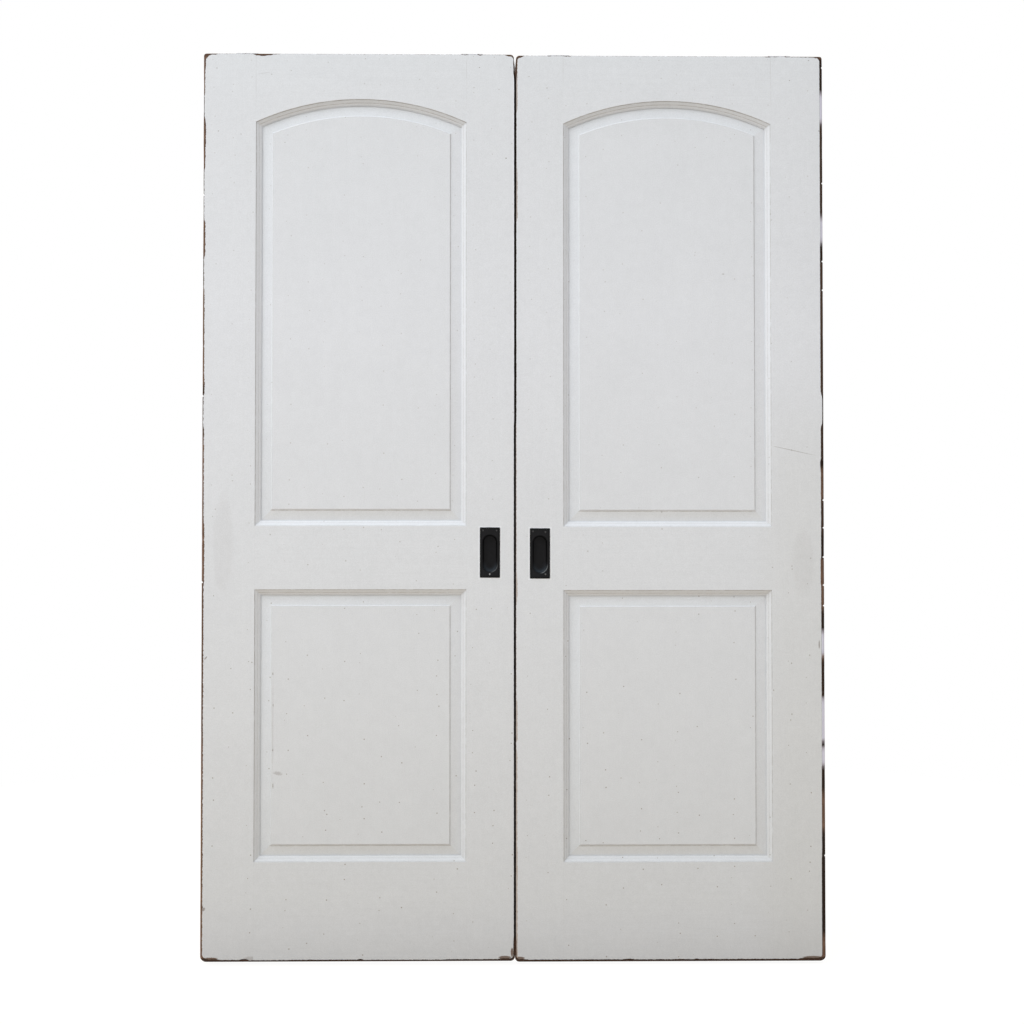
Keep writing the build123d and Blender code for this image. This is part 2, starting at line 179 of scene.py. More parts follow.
# How light the bare wood is along the same edges, where 1 is the bare wood's own colour
LONG_EDGE_TONE = {
    "left outer": (
        (0.50, 0.9), (0.85, 0.7), (1.17, 0.95), (1.265, 0.55), (1.285, 0.3), (1.51, 0.9), (1.58, 0.5),
        (1.66, 0.85), (1.775, 0.5), (1.883, 0.8), (1.944, 0.5), (2.04, 0.85),
    ),
    "right outer": (
        (0.057, 0.8), (0.29, 0.13), (0.375, 0.8), (0.436, 0.14), (0.474, 1.0), (0.490, 0.12), (0.584, 1.0),
        (0.672, 0.2), (0.733, 1.0), (0.782, 0.14), (0.896, 0.8), (0.955, 0.14), (1.029, 0.3), (1.10, 0.8),
        (1.12, 0.12), (1.266, 0.3), (1.566, 0.35), (1.611, 0.14), (1.665, 0.9), (1.883, 0.3), (1.947, 0.9),
        (2.04, 0.14),
    ),
    # Near black along the meeting edges: painted shade of the gap between the leaves
    "left meeting": ((0.05, 0.4), (1.985, 0.02), (2.04, 0.3)),
    "right meeting": ((0.05, 0.4), (1.985, 0.03), (2.04, 0.45)),
}

# Where the right leaf's outer edge keeps its paint, drawn in a lilac grey as a painted sheen on its round: 1
# along such a stretch and 0 elsewhere
EDGE_PAINT_LEFT = (
    (0.436, 0), (0.474, 1), (0.490, 0), (0.584, 1), (0.683, 0), (0.733, 1), (1.611, 0), (1.665, 1),
    (1.883, 0), (1.947, 1), (2.04, 0),
)

# Beige wear beside the right leaf's meeting edge, given as the bare wood is
MEETING_FRINGE = (
    (0.245, 5.6), (0.47, 5.0), (0.49, 3.0), (0.58, 5.4), (0.805, 3.2), (0.86, 5.2), (1.66, 3.4),
    (1.775, 5.6), (1.91, 3.6), (2.04, 5.8),
)

# Bare wood along the ends of the leaves, from the left: each stretch ends at a place across the doorway
END_WEAR = {
    "left foot": (
        (-0.655, 5.6), (-0.606, 4.4), (-0.592, 6.4), (-0.50, 3.6), (-0.344, 4.2), (-0.338, 5.8),
        (-0.15, 3.6), (-0.033, 4.4), (0.01, 6.0),
    ),
    "right foot": (
        (0.03, 5.8), (0.25, 4.9), (0.265, 6.2), (0.366, 4.7), (0.377, 5.8), (0.405, 4.7), (0.413, 5.8),
        (0.639, 4.9), (0.71, 6.6),
    ),
    "left head": (
        (-0.683, 4.6), (-0.668, 2.6), (-0.609, 0.6), (-0.5825, 0.9), (-0.574, 3.6), (-0.556, 5.2),
        (-0.5445, 3.8), (-0.528, 1.5), (-0.111, 0.5), (-0.105, 1.9), (-0.079, 0.5), (-0.071, 2.3),
        (-0.016, 0.6), (0.01, 4.4),
    ),
    "right head": (
        (0.020, 5.4), (0.078, 0.5), (0.083, 1.9), (0.112, 0.5), (0.130, 1.9), (0.568, 0.5), (0.582, 1.9),
        (0.588, 0.5), (0.594, 1.9), (0.612, 0.6), (0.655, 1.5), (0.680, 1.8), (0.71, 3.4),
    ),
}
END_TONE = {"foot": 0.26, "head": 0.6}

# Specks, scratches and dents: a place across and up, half the length and half the thickness in
# millimetres, the turn in degrees and the strength
MARKS = {
    "left stile": (
        (-0.6677, 2.0009, 1.5, 1.3, 0, 0.5), (-0.6638, 1.8584, 1.6, 1.4, 0, 0.5),
        (-0.6133, 1.8518, 1.4, 1.2, 0, 0.45), (-0.0773, 2.0044, 1.5, 1.2, 0, 0.5),
        (-0.0897, 1.9590, 1.3, 1.3, 0, 0.4), (-0.0333, 1.9547, 1.4, 1.2, 0, 0.4),
        (-0.0175, 1.7990, 1.8, 1.5, 0, 0.6), (-0.690, 0.118, 5.0, 3.0, 60, 0.6),
        (-0.6875, 0.676, 4.5, 1.6, 50, 0.6), (-0.650, 0.935, 24.0, 110.0, 0, 0.05),
        (-0.655, 0.860, 14.0, 40.0, 10, 0.05), (-0.674, 0.0085, 17.0, 3.4, 0, 0.95),
        (-0.582, 0.0095, 19.0, 4.6, 0, 0.28), (-0.020, 0.0100, 15.0, 3.6, 0, 0.9),
        (-0.0040, 0.021, 11.0, 3.0, 90, 0.9),
    ),
    "left rail": ((-0.5622, 1.9900, 17.0, 0.9, 8, 0.15),),
    "left panel": (
        (-0.5156, 1.8352, 1.6, 1.3, 0, 0.5), (-0.5270, 0.4180, 14.0, 6.0, -8, 0.30),
        (-0.5385, 0.5200, 160.0, 0.9, 90, 0.30), (-0.5388, 0.6400, 5.0, 1.3, 90, 0.7),
        (-0.5381, 0.5700, 6.0, 1.3, 90, 0.7), (-0.5384, 0.4700, 5.0, 1.4, 90, 0.7),
        (-0.5379, 0.3900, 9.0, 1.3, 90, 0.7),
    ),
    "right stile": (
        (0.0343, 1.9844, 1.4, 1.2, 0, 0.45), (0.0749, 1.9585, 1.5, 1.3, 0, 0.45),
        (0.6664, 2.0233, 1.6, 1.3, 0, 0.5), (0.6232, 1.9776, 1.5, 1.3, 0, 0.5),
        (0.6891, 1.8631, 1.5, 1.5, 0, 0.5), (0.6280, 1.1405, 52.0, 0.8, -12.4, 0.40),
        (0.6850, 0.7050, 10.0, 1.4, 90, 0.6), (0.650, 0.890, 26.0, 78.0, 0, 0.05),
        (0.013, 0.0080, 12.0, 3.6, 0, 0.9), (0.0036, 0.018, 12.0, 3.4, 90, 0.85),
        (0.668, 0.0075, 24.0, 3.6, 0, 0.9),
    ),
    "right rail": (),
    "right panel": (
        (0.4361, 1.8497, 1.4, 1.3, 0, 0.45), (0.4756, 1.8408, 1.5, 1.3, 0, 0.45),
        (0.4994, 1.8567, 1.4, 1.2, 0, 0.45), (0.4724, 1.5395, 4.5, 2.2, 0, 0.35),
    ),
}

# How far the long outer edges have lost their straight line, from the floor up, in millimetres, besides
# a slight waver, and the heights of the notches in them
OUTER_EDGE_LOSS = {
    "left": ((1.50, 0.0), (1.66, 0.2), (1.80, 0.5), (1.90, 0.0), (1.98, 0.4), (2.04, 0.0)),
    "right": ((2.04, 0.0),),
}
OUTER_EDGE_NOTCHES = {
    "left": (1.715, 1.262, 0.845),
    "right": (2.008, 1.745, 1.568, 1.503, 1.029, 0.967, 0.901, 0.838, 0.792, 0.233),
}
NOTCH_DEPTH = 0.0032
NOTCH_HALF_HEIGHT = 0.0026
EDGE_LOSS_REACH = 0.009
EDGE_LOSS_BLUR = 0.012
EDGE_CUT_SPACING = 0.014
MM = 0.001

# Where the tables of the long edges end, above the leaves. No width in them, in millimetres, and no tone
# is above the next two numbers.
EDGE_TABLE_TOP = 2.04
WIDEST_WEAR = 10
LIGHTEST_TONE = 2

# How ragged the line between paint and bare wood is, and how round it runs at the corners of a leaf
OUTER_RAGGEDNESS = {"left": 0.9, "right": 0.25}
MEETING_RAGGEDNESS = 0.25
END_RAGGEDNESS = 0.6
OUTER_CORNER_WEAR = {"left": 0.012, "right": 0.009}
MEETING_CORNER_WEAR = 0.007

# Where the painted shade lines lie: in the moulding, from the edge of the opening, and round the panel's
# field, outwards
QUIRK_SHADE_LINE = 0.0008
STEP_SHADE_LINE = 0.0072
SHADE_BELOW_FIELD = 0.0034
SHADE_BESIDE_FIELD = 0.0014

# How strongly the brush strokes show on each kind of part
STROKE_TONE = {"panel": 0.012, "stile": 0.02, "rail": 0.035}

# Colours that lie over the paint or show through it, and tints of painted light, shade and sheen
MARK_COLOUR = (0.125, 0.080, 0.056)
FRINGE_COLOUR = (0.33, 0.255, 0.205)
EDGE_SHEEN_LILAC = (0.62, 0.62, 0.73)
RUST_COLOUR = (0.10, 0.06, 0.045)
BEVEL_HIGHLIGHT_TINT = (1.02, 1.03, 1.035)
BEVEL_SHADE_TINT = (0.985, 0.975, 0.955)
LOW_OUTER_DARKER_TINT = (0.965, 0.96, 0.945)

# Colours of the pulls and their pins
CUP_GLEAM_COLOUR = (0.030, 0.038, 0.047)
RIM_HIGHLIGHT_COLOUR = (0.13, 0.14, 0.15)
RIM_HIGHLIGHT_SHARE = {"left": 0.5, "right": 0.9}
PIN_GLINT = {"left": 0.45, "right": 0.16}

# How little the paint and the patina mirror
MATT_SPECULAR = 0.12

# The light from all around, the floor and the lamp
LIGHT_FROM_BELOW = (0.64, 0.60, 0.545)
LIGHT_FROM_ABOVE = (0.78, 0.80, 0.825)
WHITE = (1, 1, 1)
FLOOR_RADIUS = 3
FLOOR_COLOUR = (0.71, 0.60, 0.465)
FLOOR_GLOW = 1.1
FLOOR_GLOW_SHARE = 0.86
LAMP_AIM = Vector((0, 0, 1.1))
LAMP_DIRECTION = Vector((-0.52, -0.42, 0.745))
LAMP_DISTANCE = 9
LAMP_WIDTH = 7.5
LAMP_COLOUR = (0.97, 0.99, 1.0)
SENSOR_WIDTH = 36


class ClosetDoorPaint(bpy.types.PropertyGroup):
    """The paint and what shows where it is gone."""

    colour: bpy.props.FloatVectorProperty(
        name="Paint", description="The white paint", subtype="COLOR", size=3, default=(0.684, 0.707, 0.751)
    )
    bare_wood: bpy.props.FloatVectorProperty(
        name="Bare wood", description="Wood where the paint has worn off", subtype="COLOR", size=3,
        default=(0.155, 0.092, 0.064),
    )
    # This colour also goes into the painted shade lines of the moulding and round the panel's field
    grime_and_shade: bpy.props.FloatVectorProperty(
        name="Grime", description="Dirt in the corners", subtype="COLOR", size=3, default=(0.20, 0.165, 0.13)
    )
    roughness: bpy.props.FloatProperty(
        name="Roughness", description="How matt the paint is", subtype="FACTOR", min=0, max=1, default=0.55
    )
    wear_share: bpy.props.FloatProperty(
        name="Edge wear", description="How much of the usual wear the edges show", subtype="FACTOR", min=0,
        max=2, default=1,
    )


class ClosetDoorPull(bpy.types.PropertyGroup):
    """The blackened metal of the flush pulls."""

    colour: bpy.props.FloatVectorProperty(
        name="Patina", description="The blackened metal", subtype="COLOR", size=3,
        default=(0.008, 0.008, 0.009),
    )
    roughness: bpy.props.FloatProperty(
        name="Roughness", description="How dull the metal is", subtype="FACTOR", min=0, max=1, default=0.48
    )


class ClosetDoorStage(bpy.types.PropertyGroup):
    """Where the camera stands, how strong the light is and where the floor lies."""

    camera_distance: bpy.props.FloatProperty(
        name="Camera distance", description="From the camera to the face of the leaves", subtype="DISTANCE",
        unit="LENGTH", default=3.1865,
    )
    camera_left: bpy.props.FloatProperty(
        name="Camera to the left", description="How far left of the meeting gap the camera stands",
        subtype="DISTANCE", unit="LENGTH", default=0.0445,
    )
    camera_height: bpy.props.FloatProperty(
        name="Camera height", description="Above the floor", subtype="DISTANCE", unit="LENGTH", default=0.9383
    )
    camera_tilt: bpy.props.FloatProperty(
        name="Camera tilt", description="How far the camera looks up", subtype="ANGLE",
        default=math.radians(1.146),
    )
    camera_turn: bpy.props.FloatProperty(
        name="Camera turn", description="How far the camera looks to the right", subtype="ANGLE",
        default=math.radians(0.682),
    )
    lens: bpy.props.FloatProperty(
        name="Lens", description="Focal length", subtype="DISTANCE_CAMERA", default=50
    )
    lamp_power: bpy.props.FloatProperty(
        name="Lamp power", description="Power of the large soft lamp", subtype="POWER", default=610
    )
    sky_strength: bpy.props.FloatProperty(
        name="Surroundings", description="Strength of the light from all around", default=0.99
    )
    floor_drop: bpy.props.FloatProperty(
        name="Floor drop", description="How far the floor lies below the lower leaf", subtype="DISTANCE",
        unit="LENGTH", default=0.008,
    )


def paint_settings():
    return bpy.context.scene.closet_door_paint


def pull_settings():
    return bpy.context.scene.closet_door_pull


def stage_settings():
    return bpy.context.scene.closet_door_stage


# Materials


class Mixer:
    """The nodes of a material or of the surroundings, joined step by step."""

    def __init__(self, tree):
        self.nodes = tree.nodes
        self.links = tree.links

    def feed(self, socket, value):
        """Joins an output to a socket, or sets the socket's own value."""
        if isinstance(value, bpy.types.NodeSocket):
            self.links.new(value, socket)
        else:
            socket.default_value = value

    def maths(self, operation, *values):
        """One sum on one or two numbers."""
        node = self.nodes.new("ShaderNodeMath")
        node.operation = operation
        for socket, value in zip(node.inputs, values):
            self.feed(socket, value)
        return node.outputs[0]

    def in_turn(self, operation, values):
        """A sum on the first two numbers, then on its result and the next number, and so on."""
        return functools.reduce(lambda first, second: self.maths(operation, first, second), values)

    def add(self, *values):
        return self.in_turn("ADD", values)

    def times(self, *values):
        return self.in_turn("MULTIPLY", values)

    def least(self, *values):
        return self.in_turn("MINIMUM", values)

    def most(self, *values):
        return self.in_turn("MAXIMUM", values)

    def minus(self, first, second):
        return self.maths("SUBTRACT", first, second)

    def distance(self, first, second):
        return self.maths("ABSOLUTE", self.minus(first, second))

    def slant(self, first, second):
        """How far apart two places are, from how far apart they are each way."""
        return self.maths("SQRT", self.add(self.times(first, first), self.times(second, second)))

    def ranged(self, value, start, end, low, high, smooth=False):
        """Low at start and high at end, and held beyond them."""
        node = self.nodes.new("ShaderNodeMapRange")
        node.interpolation_type = "SMOOTHSTEP" if smooth else "LINEAR"
        self.feed(node.inputs["Value"], value)
        for name, number in (("From Min", start), ("From Max", end), ("To Min", low), ("To Max", high)):
            node.inputs[name].default_value = number
        return node.outputs["Result"]

    def rise(self, value, start, end):
        """From 0 at start to 1 at end, smoothly. The start may lie above the end."""
        if start > end:
            return self.ranged(value, end, start, 1, 0, smooth=True)
        return self.ranged(value, start, end, 0, 1, smooth=True)

    def spread(self, value, low, high):
        """Stretches a number from 0 to 1 to run from low to high."""
        return self.ranged(value, 0, 1, low, high)

    def line(self, value, centre, half_width, softness):
        """1 within half a width of the centre, fading over the softness."""
        away = self.distance(value, centre)
        return self.rise(away, half_width + softness, half_width)

    def either(self, choice, first, second):
        """The first number where the choice is 1, and the second where it is 0."""
        return self.add(self.times(choice, first), self.times(self.minus(1, choice), second))

    def tint(self, factor, first, second):
        """A colour between two others."""
        return self.mixed("MIX", first, second, factor)

    def ramp(self, value, stops):
        """Colours that run into each other at the given places from 0 to 1."""
        node = self.nodes.new("ShaderNodeValToRGB")
        elements = node.color_ramp.elements
        while len(elements) < len(stops):
            elements.new(0.5)
        for element, (place, colour) in zip(elements, stops):
            element.position = place
            element.color = (*colour, 1)
        self.feed(node.inputs[0], value)
        return node.outputs[0]

    def mixed(self, blend, first, second, factor=1.0):
        """Two colours mixed by one of the usual ways, such as MULTIPLY."""
        node = self.nodes.new("ShaderNodeMix")
        node.data_type = "RGBA"
        node.blend_type = blend
        self.feed(node.inputs["Factor"], factor)
        self.feed(node.inputs[6], (*first, 1) if isinstance(first, tuple) else first)
        self.feed(node.inputs[7], (*second, 1) if isinstance(second, tuple) else second)
        return node.outputs[2]

    def shade(self, colour, amount):
        """A colour multiplied by a number."""
        node = self.nodes.new("ShaderNodeVectorMath")
        node.operation = "SCALE"
        self.feed(node.inputs[0], colour)
        self.feed(node.inputs["Scale"], amount)
        return node.outputs[0]

    def white_rays(self):
        """1 for rays that see the surroundings, also in a mirror or glass, and 0 for those that light."""
        path = self.nodes.new("ShaderNodeLightPath").outputs
        return self.most(path["Is Camera Ray"], path["Is Glossy Ray"], path["Is Transmission Ray"])


class Recipe(Mixer):
    """A material whose patterns lie in place on the object."""

    def __init__(self, name):
        self.material = bpy.data.materials.new(name)
        self.material.use_nodes = True
        super().__init__(self.material.node_tree)
        self.shader = self.nodes["Principled BSDF"]
        self.place = self.nodes.new("ShaderNodeTexCoord").outputs["Object"]
        parts = self.nodes.new("ShaderNodeSeparateXYZ")
        self.links.new(self.place, parts.inputs[0])
        self.across, self.depth, self.height = parts.outputs

    def turned(self, scale, rotation=(0, 0, 0)):
        """The place on the object, scaled and turned, for a pattern that runs one way."""
        node = self.nodes.new("ShaderNodeMapping")
        self.links.new(self.place, node.inputs["Vector"])
        node.inputs["Scale"].default_value = scale
        node.inputs["Rotation"].default_value = rotation
        return node.outputs[0]

    def noise(self, scale, detail, roughness, vector=None):
        """Cloudy noise from 0 to 1, mostly near the middle."""
        node = self.nodes.new("ShaderNodeTexNoise")
        self.links.new(vector or self.place, node.inputs["Vector"])
        node.inputs["Scale"].default_value = scale
        node.inputs["Detail"].default_value = detail
        node.inputs["Roughness"].default_value = roughness
        return node.outputs["Fac"]

    def blots(self, scale, radius, share):
        """Small round spots on the faces, one in a share of a loose grid's cells, each of its own size."""
        node = self.nodes.new("ShaderNodeTexVoronoi")
        node.voronoi_dimensions = "2D"
        self.links.new(self.turned((1, 1, 1), (math.radians(90), 0, 0)), node.inputs["Vector"])
        node.inputs["Scale"].default_value = scale
        parts = self.nodes.new("ShaderNodeSeparateColor")
        self.links.new(node.outputs["Color"], parts.inputs[0])
        size = self.rise(parts.outputs[0], 1 - share, 1)
        reach = self.times(size, radius * scale)
        near = self.minus(reach, node.outputs["Distance"])
        return self.rise(near, 0, radius * scale * 0.5)

    def stretches(self, value, start, end, ends, largest):
        """A number that holds along each stretch of an edge, from one that runs from start to end."""
        node = self.nodes.new("ShaderNodeFloatCurve")
        curve = node.mapping.curves[0]
        places = []
        begin = start
        for stop, number in ends:
            share = min(0.2 * (stop - begin), 0.004)
            places += [(begin + share, number), (stop - share, number)]
            begin = stop
        while len(curve.points) < len(places):
            curve.points.new(1, 1)
        for point, (place, number) in zip(curve.points, places):
            point.location = ((place - start) / (end - start), number / largest)
            point.handle_type = "VECTOR"
        node.mapping.update()
        self.feed(node.inputs["Value"], self.ranged(value, start, end, 0, 1))
        return self.times(node.outputs[0], largest)

    def mark(self, centre, half_sizes, turn, ragged):
        """1 in the middle of a small turned oval on the front face, fading to 0 at its rim."""
        node = self.nodes.new("ShaderNodeMapping")
        node.vector_type = "TEXTURE"
        self.links.new(self.place, node.inputs["Vector"])
        node.inputs["Location"].default_value = centre
        node.inputs["Rotation"].default_value = (0, -turn, 0)
        node.inputs["Scale"].default_value = half_sizes
        length = self.nodes.new("ShaderNodeVectorMath")
        length.operation = "LENGTH"
        self.links.new(node.outputs[0], length.inputs[0])
        return self.rise(self.add(length.outputs["Value"], ragged), 1.1, 0.75)

    def relief(self, height, depth):
        """A bump from a height between 0 and 1 that stands that deep, in metres."""
        node = self.nodes.new("ShaderNodeBump")
        node.inputs["Strength"].default_value = 1
        node.inputs["Distance"].default_value = depth
        self.feed(node.inputs["Height"], height)
        return node.outputs[0]

    def complete(self, colour, roughness, height, depth):
        """Feeds the shader its colour, its roughness and the relief of its surface."""
        self.feed(self.shader.inputs["Base Color"], colour)
        self.feed(self.shader.inputs["Roughness"], roughness)
        self.feed(self.shader.inputs["Normal"], self.relief(height, depth))
        return self.material


class Openings:
    """Where a place lies in the nearer panel opening of a leaf."""

    def __init__(self, recipe, plan):
        from_left = recipe.minus(recipe.across, plan.opening_left)
        from_right = recipe.minus(plan.opening_right, recipe.across)
        sides = recipe.least(from_left, from_right)
        from_middle = recipe.minus(recipe.across, plan.middle)
        above_centre = recipe.minus(recipe.height, plan.arch_centre)
        under_arch = recipe.minus(plan.arch_radius, recipe.slant(from_middle, above_centre))
        is_upper = recipe.maths("GREATER_THAN", recipe.height, plan.lock_middle)
        above_lock_rail = recipe.minus(recipe.height, plan.upper_bottom)
        above_bottom_rail = recipe.minus(recipe.height, plan.lower_bottom)
        from_top = recipe.either(is_upper, under_arch, recipe.minus(plan.lower_top, recipe.height))
        from_bottom = recipe.either(is_upper, above_lock_rail, above_bottom_rail)
        self.inset = recipe.least(sides, from_top, from_bottom)
        self.at_top = self.nearest(recipe, from_top, sides, from_bottom)
        self.at_bottom = self.nearest(recipe, from_bottom, sides, from_top)
        self.at_right = self.nearest(recipe, from_right, from_left, from_top, from_bottom)

    @staticmethod
    def nearest(recipe, edge, *others):
        """1 where this edge of the opening is nearer than the others, and 0 elsewhere."""
        return recipe.rise(recipe.minus(recipe.least(*others), edge), -0.0005, 0.0005)


def moulding_shade_lines(recipe, plan, part):
    """Painted shade in the lines of the moulding, most of it under the top edges, and round the panel's
    field, most of it below the field and at its right, in the grime colour.
    """
    openings = Openings(recipe, plan)
    inset = openings.inset
    patchy = recipe.rise(recipe.noise(60, 4, 0.65), 0.2, 0.6)
    if part == "panel":
        field_edge = MOULDING_WIDTH + BEVEL_AND_STEP_WIDTH
        below = recipe.line(inset, field_edge - SHADE_BELOW_FIELD, 0.0009, 0.0008)
        beside = recipe.line(inset, field_edge - SHADE_BESIDE_FIELD, 0.0006, 0.0008)
        below = recipe.times(below, openings.at_bottom, 0.30)
        beside = recipe.times(beside, openings.at_right, 0.22)
        around = recipe.times(recipe.line(inset, field_edge, 0.0003, 0.0008), 0.12)
        return recipe.times(recipe.most(below, beside, around), patchy)
    at_top = openings.at_top
    quirk = recipe.line(inset, QUIRK_SHADE_LINE, 0.0005, 0.0004)
    step = recipe.line(inset, STEP_SHADE_LINE, 0.0004, 0.0005)
    quirk = recipe.times(quirk, recipe.spread(at_top, 0.42, 0.48))
    step = recipe.times(step, recipe.spread(at_top, 0.20, 0.38))
    low = recipe.times(openings.at_bottom, 0.6)
    return recipe.times(recipe.most(quirk, step), recipe.minus(1, low), patchy)


def lit_and_shaded_bevels(recipe, plan, colour):
    """The panel's colour with a painted highlight on its top and left bevels, which face the light, and
    painted shade on the bevels below.
    """
    openings = Openings(recipe, plan)
    half_bevel = (BEVEL_AND_STEP_WIDTH - FIELD_STEP_WIDTH) / 2
    bevel = recipe.line(openings.inset, MOULDING_WIDTH + half_bevel, half_bevel, 0.0005)
    # The top and left bevels, which face the light and take the painted highlight
    clean = recipe.minus(1, recipe.most(openings.at_right, openings.at_bottom))
    colour = recipe.mixed("MULTIPLY", colour, BEVEL_HIGHLIGHT_TINT, recipe.times(bevel, clean))
    return recipe.mixed("MULTIPLY", colour, BEVEL_SHADE_TINT, recipe.times(bevel, openings.at_bottom))


def joint_lines(recipe, plan):
    """Faint lines where the rails meet the stiles, plainest at the top."""
    sides = recipe.least(
        recipe.distance(recipe.across, plan.opening_left), recipe.distance(recipe.across, plan.opening_right)
    )
    line = recipe.line(sides, 0, 0.0002, 0.0007)
    near_top = recipe.rise(recipe.height, plan.top - 0.16, plan.top - 0.05)
    on_lock = recipe.line(recipe.height, plan.lock_middle, 0.066, 0.004)
    on_foot = recipe.rise(recipe.height, plan.lower_bottom, plan.lower_bottom - 0.005)
    strength = recipe.add(recipe.times(near_top, 0.22), recipe.times(recipe.add(on_lock, on_foot), 0.05))
    return recipe.times(line, strength, recipe.rise(recipe.noise(25, 3, 0.6), 0.3, 0.6))


def marks_on(recipe, plan, part):
    """All the specks, scratches and dents of one kind of part."""
    ragged = recipe.spread(recipe.noise(500, 3, 0.6), -0.4, 0.4)
    total = None
    for across, height, half_length, half_thickness, turn, strength in MARKS[plan.name + " " + part]:
        centre = (across, plan.front, height)
        half_sizes = (half_length * MM, 0.01, half_thickness * MM)
        mask = recipe.times(recipe.mark(centre, half_sizes, math.radians(turn), ragged), strength)
        total = mask if total is None else recipe.most(total, mask)
    return total


class WornEdges:
    """Where the paint has worn off along the edges of a leaf, and the colour of what shows there, near black
    along the meeting edges as painted shade of the gap between the leaves.
    """

    def __init__(self, recipe, plan, settings):
        self.recipe = recipe
        self.plan = plan
        self.settings = settings
        self.to_outer = recipe.distance(recipe.across, plan.outer_edge)
        self.to_meeting = recipe.distance(recipe.across, plan.meeting_edge)
        self.to_foot = recipe.minus(recipe.height, plan.bottom)
        self.to_head = recipe.minus(plan.top, recipe.height)
        self.is_meeting = recipe.maths("GREATER_THAN", self.to_outer, self.to_meeting)
        coarse = recipe.spread(recipe.noise(170, 4, 0.7), -0.0030, 0.0030)
        self.ragged = recipe.add(coarse, recipe.spread(recipe.noise(700, 2, 0.6), -0.0007, 0.0007))
        self.painted = self.inside_paint()
        self.share = recipe.times(recipe.rise(self.painted, 0.0002, -0.0003), self.near_face())

    def width(self, ends, value, start, end):
        """How wide the bare wood is along an edge."""
        millimetres = self.recipe.stretches(value, start, end, ends, WIDEST_WEAR)
        return self.recipe.times(millimetres, MM * self.settings.wear_share)

    def width_up(self, ends):
        """The same along an upright edge."""
        return self.width(ends, self.recipe.height, 0, EDGE_TABLE_TOP)

    def width_along(self, ends):
        """The same along the head or the foot of the leaf."""
        end = max(self.plan.right_edge, ends[-1][0])
        return self.width(ends, self.recipe.across, self.plan.left_edge - 0.001, end)

    def tone_up(self, name):
        """How light the bare wood is along an upright edge."""
        ends = LONG_EDGE_TONE[self.plan.name + " " + name]
        return self.recipe.stretches(self.recipe.height, 0, EDGE_TABLE_TOP, ends, LIGHTEST_TONE)

    def inside_paint(self):
        """How far a place lies inside the paint that is left, and below 0 where the wood is bare."""
        recipe = self.recipe
        leaf = self.plan.name
        outer = recipe.minus(self.to_outer, self.width_up(LONG_EDGE_WEAR[leaf + " outer"]))
        meeting = recipe.minus(self.to_meeting, self.width_up(LONG_EDGE_WEAR[leaf + " meeting"]))
        foot = recipe.minus(self.to_foot, self.width_along(END_WEAR[leaf + " foot"]))
        head = recipe.minus(self.to_head, self.width_along(END_WEAR[leaf + " head"]))
        outer = recipe.add(outer, recipe.times(self.ragged, OUTER_RAGGEDNESS[leaf]))
        meeting = recipe.add(meeting, recipe.times(self.ragged, MEETING_RAGGEDNESS))
        ends = recipe.add(recipe.least(foot, head), recipe.times(self.ragged, END_RAGGEDNESS))
        return recipe.least(
            self.round_corner(outer, ends, OUTER_CORNER_WEAR[leaf]),
            self.round_corner(meeting, ends, MEETING_CORNER_WEAR),
        )

    def round_corner(self, first, second, radius):
        """The smaller of two distances, with a round where both are small."""
        recipe = self.recipe
        short_first = recipe.most(recipe.minus(radius, first), 0)
        short_second = recipe.most(recipe.minus(radius, second), 0)
        return recipe.minus(radius, recipe.slant(short_first, short_second))

    def near_face(self):
        """1 near the front and back faces, and 0 inside the thickness of the leaf."""
        recipe = self.recipe
        to_front = recipe.distance(recipe.depth, self.plan.front)
        to_back = recipe.distance(recipe.depth, self.plan.back)
        return recipe.rise(recipe.add(recipe.least(to_front, to_back), self.ragged), 0.012, 0.008)

    def wood(self):
        """The bare wood, with painted shade along the edge of the paint, and on parts of the right edge,
        where paint is left, a lilac grey as a painted sheen.
        """
        recipe = self.recipe
        tone = recipe.either(self.is_meeting, self.tone_up("meeting"), self.tone_up("outer"))
        tone = recipe.either(recipe.rise(self.to_foot, 0.010, 0.006), END_TONE["foot"], tone)
        tone = recipe.either(recipe.rise(self.to_head, 0.008, 0.005), END_TONE["head"], tone)
        grain = recipe.spread(recipe.noise(75, 5, 0.75), 0.25, 1.9)
        wood = recipe.shade(tuple(self.settings.bare_wood), recipe.times(tone, grain))
        if self.plan.name == "right":
            # Paint left on the right edge, in a lilac grey that is a painted sheen
            coated = recipe.stretches(recipe.height, 0, EDGE_TABLE_TOP, EDGE_PAINT_LEFT, 1)
            wood = recipe.tint(recipe.minus(coated, self.is_meeting), wood, EDGE_SHEEN_LILAC)
        # Painted shade along the edge of the paint layer
        return recipe.shade(wood, recipe.spread(recipe.rise(self.painted, -0.0016, -0.0002), 1.0, 0.5))

    def fringe(self):
        """Beige wear beside the meeting edge of the right leaf."""
        recipe = self.recipe
        near = recipe.minus(self.width_up(MEETING_FRINGE), recipe.add(self.to_meeting, self.ragged))
        speckled = recipe.spread(recipe.noise(60, 4, 0.7), 0.35, 1.0)
        return recipe.times(recipe.rise(near, -0.0006, 0.0006), speckled)

    def lit_line(self):
        """A painted highlight beside the meeting edge of the left leaf, where its round catches the light, in
        its upper half.
        """
        line = self.recipe.line(self.to_meeting, 0.0026, 0.0006, 0.0008)
        return self.recipe.times(line, self.recipe.rise(self.recipe.height, 1.05, 1.5))

    def worn(self, colour):
        """The paint's colour with the edges worn through, and on the left leaf a painted highlight beside the
        meeting edge.
        """
        if self.plan.name == "right":
            colour = self.recipe.tint(self.fringe(), colour, FRINGE_COLOUR)
        else:
            colour = self.recipe.shade(colour, self.recipe.spread(self.lit_line(), 1.0, 1.28))
        return self.recipe.tint(self.share, colour, self.wood())


